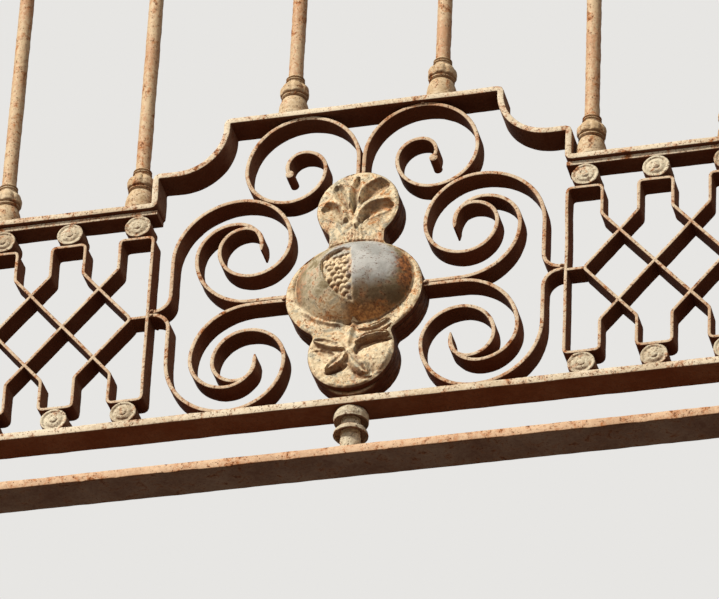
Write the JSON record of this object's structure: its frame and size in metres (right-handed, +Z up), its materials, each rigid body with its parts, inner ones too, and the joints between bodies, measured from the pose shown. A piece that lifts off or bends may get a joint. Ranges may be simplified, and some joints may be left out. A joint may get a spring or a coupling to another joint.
{
  "type": "wrought iron balcony railing",
  "caption": "Wrought iron balcony railing with bent-strip lattice panels, a scrolled middle bay around a cast pomegranate medallion, round balusters and a handrail.",
  "frame": {"origin": "middle of the base bar's flat underside", "axes": "+X along the railing, -Y to the street side, +Z up"},
  "size_m": [1.692, 0.0996, 1],
  "materials": {
    "rail_iron": "old cream paint, worn to brown rust along edges and undersides",
    "strip_iron": "old cream paint with rust on the sides of the strips",
    "baluster_iron": "thin cream paint over orange-brown rust",
    "base_iron": "brown-grey weathered paint",
    "medallion_iron": "cream and grey-blue paint, rust in the hollows",
    "foot_iron": "grey-cream paint",
    "rosette_iron": "grey-cream paint with a rusty rim",
    "collar_iron": "cream-ochre paint over rust"
  },
  "bodies": {
    "root": {"baluster_01": "baluster_iron", "baluster_02": "baluster_iron", "baluster_03": "baluster_iron", "baluster_04": "baluster_iron", "baluster_05": "baluster_iron", "baluster_06": "baluster_iron", "baluster_07": "baluster_iron", "baluster_08": "baluster_iron", "base_bar": "base_iron", "bottom_rail": "rail_iron", "collars_01": "collar_iron", "collars_02": "collar_iron", "collars_03": "collar_iron", "collars_04": "collar_iron", "collars_05": "collar_iron", "collars_06": "collar_iron", "collars_07": "collar_iron", "collars_08": "collar_iron", "end_post_left": "rail_iron", "end_post_right": "rail_iron", "foot_centre": "foot_iron", "foot_left": "foot_iron", "foot_right": "foot_iron", "handrail": "rail_iron", "lattice_left": "strip_iron", "lattice_right": "strip_iron", "lattice_top_bar_left": "rail_iron", "lattice_top_bar_right": "rail_iron", "lower_scroll_left": "strip_iron", "lower_scroll_right": "strip_iron", "medallion_back": "medallion_iron", "medallion_front": "medallion_iron", "rosettes_lower_left": "rosette_iron", "rosettes_lower_right": "rosette_iron", "rosettes_upper_left": "rosette_iron", "rosettes_upper_right": "rosette_iron", "step_rail": "rail_iron", "top_scroll_left": "strip_iron", "top_scroll_right": "strip_iron", "upper_bar": "rail_iron", "upper_scroll_left": "strip_iron", "upper_scroll_right": "strip_iron"}
  },
  "joints": []
}
